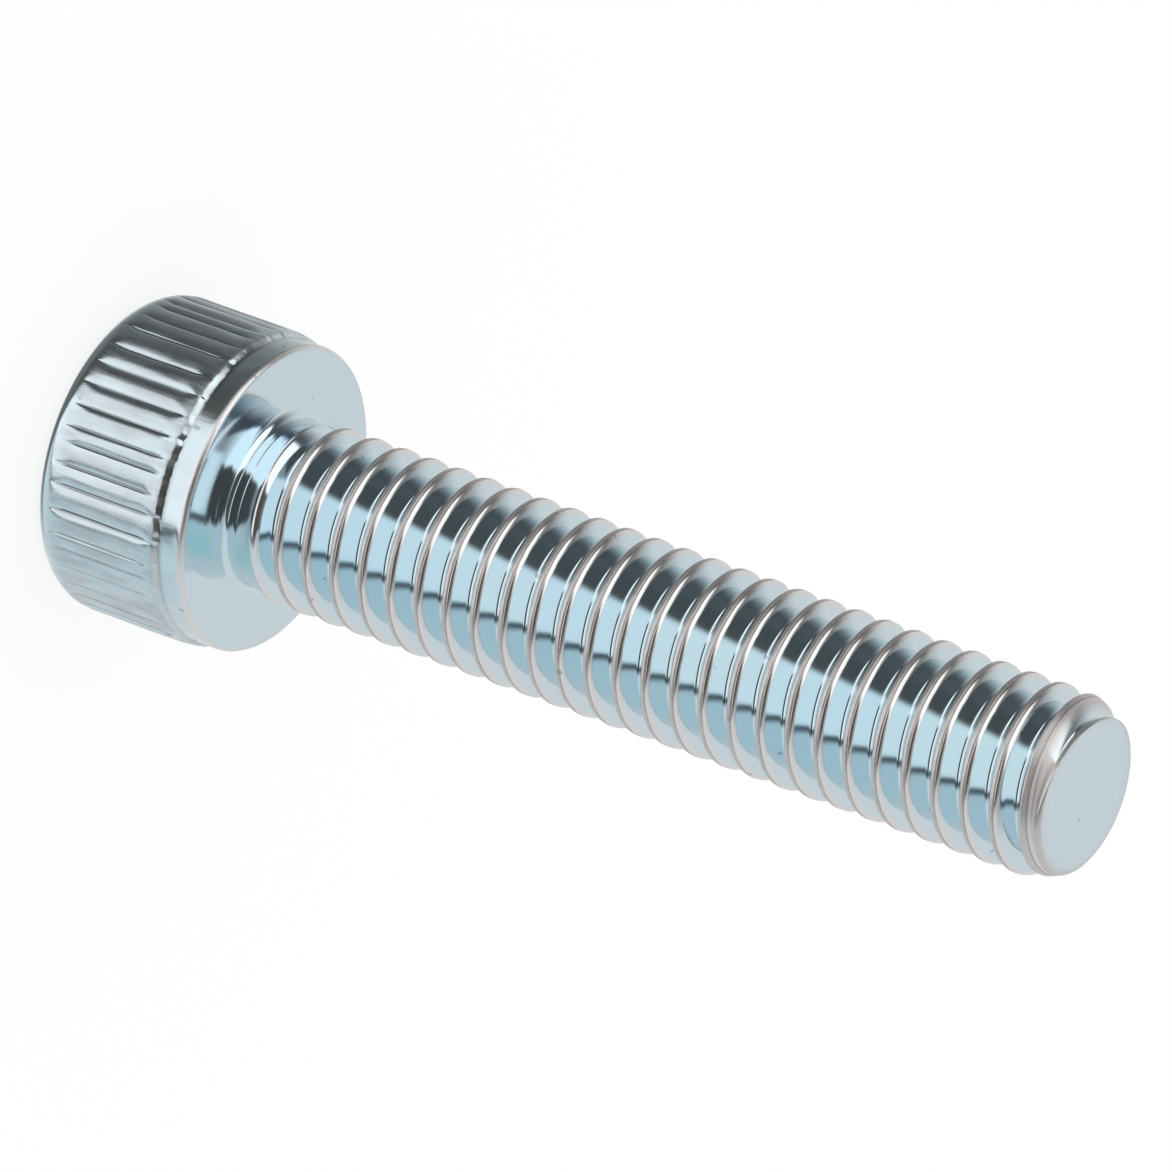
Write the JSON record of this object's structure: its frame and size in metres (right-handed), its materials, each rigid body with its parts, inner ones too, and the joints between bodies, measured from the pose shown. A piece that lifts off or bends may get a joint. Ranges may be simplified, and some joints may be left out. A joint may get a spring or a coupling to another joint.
{
  "type": "hex socket cap screw",
  "caption": "Cylindrical-head cap screw with a hexagonal socket, a straight-knurled head and a fully threaded shank with a flat point, in bright zinc plated steel.",
  "frame": {"origin": "centre of the head's flat top, where the screw's axis meets it", "axes": "+Z along the screw's axis from the head's flat top to the point; +X through a corner of the hexagonal socket"},
  "size_m": [0.0068, 0.0068, 0.0238],
  "materials": {
    "bright_zinc": "bright zinc plate with a clear blue passivation, mirror-like on the thread and bearing face, satin on the knurl"
  },
  "bodies": {
    "root": {"screw": "bright_zinc"}
  },
  "joints": []
}
